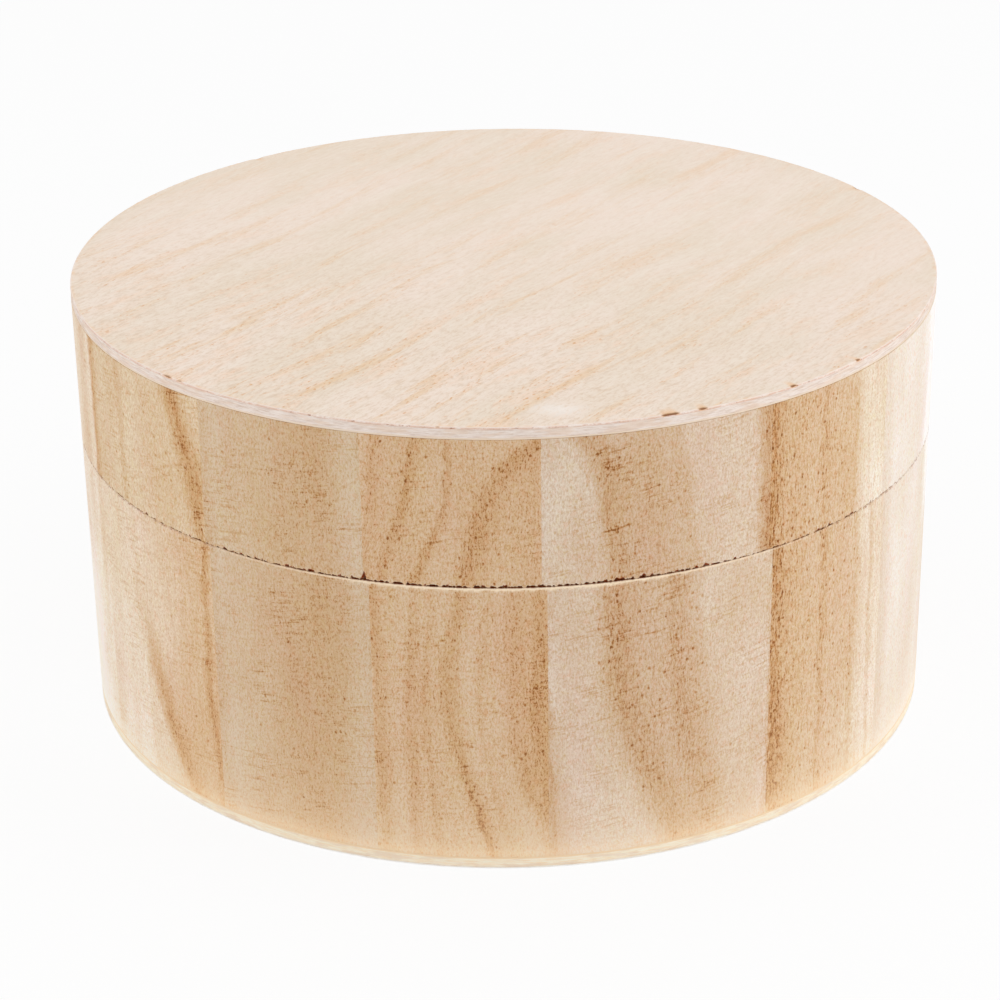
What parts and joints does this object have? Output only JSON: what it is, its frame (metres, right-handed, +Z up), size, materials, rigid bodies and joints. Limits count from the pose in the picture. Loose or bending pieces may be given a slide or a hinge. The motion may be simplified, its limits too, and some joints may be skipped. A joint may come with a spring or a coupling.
{
  "type": "round lidded box",
  "caption": "Low round box of raw wood with upright staves, flush plywood discs above and below, and a lift-off lid that a bent inner ring keeps in place.",
  "frame": {"origin": "centre of the underside, on the surface that the box stands on", "axes": "+Z up along the box's axis; -Y is the front, the side that faces the viewer"},
  "size_m": [0.12, 0.12, 0.0623],
  "materials": {
    "stave_wood": "matte",
    "face_veneer": "matte",
    "disc_core": "matte",
    "back_veneer": "matte",
    "liner_wood": "matte"
  },
  "bodies": {
    "base": {"base_stave_01": "stave_wood", "base_stave_02": "stave_wood", "base_stave_03": "stave_wood", "base_stave_04": "stave_wood", "base_stave_05": "stave_wood", "base_stave_06": "stave_wood", "base_stave_07": "stave_wood", "base_stave_08": "stave_wood", "base_stave_09": "stave_wood", "base_stave_10": "stave_wood", "base_stave_11": "stave_wood", "base_stave_12": "stave_wood", "base_stave_13": "stave_wood", "base_stave_14": "stave_wood", "base_stave_15": "stave_wood", "base_face_veneer": "face_veneer", "base_core": "disc_core", "base_back_veneer": "back_veneer", "liner": "liner_wood"},
    "lid": {"lid_stave_01": "stave_wood", "lid_stave_02": "stave_wood", "lid_stave_03": "stave_wood", "lid_stave_04": "stave_wood", "lid_stave_05": "stave_wood", "lid_stave_06": "stave_wood", "lid_stave_07": "stave_wood", "lid_stave_08": "stave_wood", "lid_stave_09": "stave_wood", "lid_stave_10": "stave_wood", "lid_stave_11": "stave_wood", "lid_stave_12": "stave_wood", "lid_stave_13": "stave_wood", "lid_stave_14": "stave_wood", "lid_stave_15": "stave_wood", "lid_face_veneer": "face_veneer", "lid_core": "disc_core", "lid_back_veneer": "back_veneer"}
  },
  "joints": [
    {"name": "lid_lift", "type": "slide", "parent": "base", "child": "lid", "axis": [0, 0, 1], "range_m": [0, 0.08]}
  ]
}
